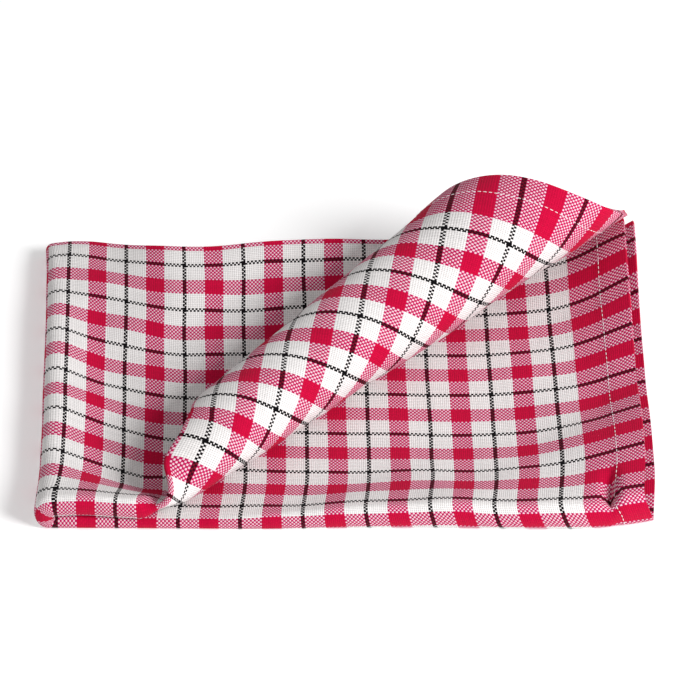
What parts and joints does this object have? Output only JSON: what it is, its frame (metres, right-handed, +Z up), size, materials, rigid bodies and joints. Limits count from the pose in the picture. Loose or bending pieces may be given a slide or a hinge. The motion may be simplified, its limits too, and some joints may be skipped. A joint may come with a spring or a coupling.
{
  "type": "tea towel",
  "caption": "Checked cotton tea towel folded in four and lying flat, with the free corner of its upper layers turned back into a soft cone-shaped roll.",
  "frame": {"origin": "middle of the towel's box, on the surface that it lies on", "axes": "+X along the folded towel from the short fold to the hems, +Y from the long fold to the selvedges, +Z up"},
  "size_m": [0.357, 0.2444, 0.0808],
  "materials": {
    "cloth": "matt woven cotton check in red, white and black"
  },
  "bodies": {
    "root": {"towel": "cloth"}
  },
  "joints": []
}
